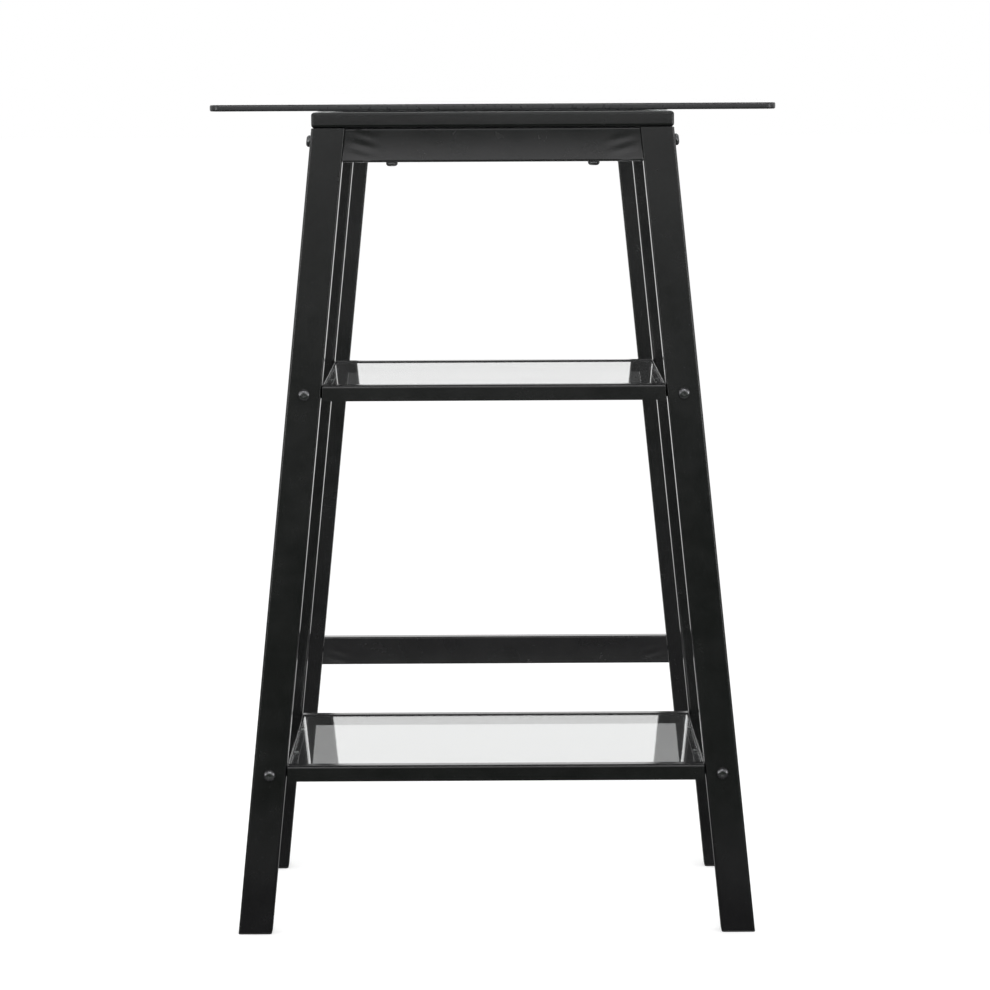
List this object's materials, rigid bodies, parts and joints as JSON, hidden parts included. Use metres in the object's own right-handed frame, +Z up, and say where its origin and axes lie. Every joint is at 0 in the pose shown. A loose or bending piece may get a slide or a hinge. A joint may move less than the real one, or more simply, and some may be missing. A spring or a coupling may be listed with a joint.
{
  "type": "drafting table",
  "caption": "Glass-topped drafting table on leaning black steel leg frames, with glass shelves at one end and an open knee space.",
  "frame": {"origin": "on the floor under the middle of the table", "axes": "+Z up, +Y along the table from the shelf end to the open end, +X across it from left to right seen from the shelf end"},
  "size_m": [0.605, 1.067, 0.914],
  "materials": {
    "black_steel": "satin black powder coat with a faint orange-peel texture",
    "bolt_steel": "black oxide, slightly glossy",
    "clear_glass": "clear tempered glass with polished dark green edges",
    "black_plastic": "moulded, matte",
    "clear_rubber": "clear, soft, satin"
  },
  "bodies": {
    "root": {"far_apron": "black_steel", "far_apron_left_bolt": "bolt_steel", "far_apron_right_bolt": "bolt_steel", "far_left_foot_plug": "black_plastic", "far_left_leg": "black_steel", "far_right_foot_plug": "black_plastic", "far_right_leg": "black_steel", "far_top_left_bolt": "bolt_steel", "far_top_right_bolt": "bolt_steel", "glass_top": "clear_glass", "lower_shelf_back_left_pad": "clear_rubber", "lower_shelf_back_right_pad": "clear_rubber", "lower_shelf_frame": "black_steel", "lower_shelf_front_left_pad": "clear_rubber", "lower_shelf_front_right_pad": "clear_rubber", "lower_shelf_glass": "clear_glass", "lower_shelf_middle_left_bolt": "bolt_steel", "lower_shelf_middle_right_bolt": "bolt_steel", "lower_shelf_near_left_bolt": "bolt_steel", "lower_shelf_near_right_bolt": "bolt_steel", "middle_apron": "black_steel", "middle_apron_left_bolt": "bolt_steel", "middle_apron_right_bolt": "bolt_steel", "middle_left_foot_plug": "black_plastic", "middle_left_leg": "black_steel", "middle_right_foot_plug": "black_plastic", "middle_right_leg": "black_steel", "middle_top_left_bolt": "bolt_steel", "middle_top_right_bolt": "bolt_steel", "near_apron": "black_steel", "near_apron_left_bolt": "bolt_steel", "near_apron_right_bolt": "bolt_steel", "near_left_foot_plug": "black_plastic", "near_left_leg": "black_steel", "near_right_foot_plug": "black_plastic", "near_right_leg": "black_steel", "near_top_left_bolt": "bolt_steel", "near_top_right_bolt": "bolt_steel", "stretcher": "black_steel", "stretcher_left_bolt": "bolt_steel", "stretcher_right_bolt": "bolt_steel", "top_far_left_pad": "clear_rubber", "top_far_right_pad": "clear_rubber", "top_frame": "black_steel", "top_middle_left_pad": "clear_rubber", "top_middle_right_pad": "clear_rubber", "top_near_left_pad": "clear_rubber", "top_near_right_pad": "clear_rubber", "upper_shelf_back_left_pad": "clear_rubber", "upper_shelf_back_right_pad": "clear_rubber", "upper_shelf_frame": "black_steel", "upper_shelf_front_left_pad": "clear_rubber", "upper_shelf_front_right_pad": "clear_rubber", "upper_shelf_glass": "clear_glass", "upper_shelf_middle_left_bolt": "bolt_steel", "upper_shelf_middle_right_bolt": "bolt_steel", "upper_shelf_near_left_bolt": "bolt_steel", "upper_shelf_near_right_bolt": "bolt_steel"}
  },
  "joints": []
}
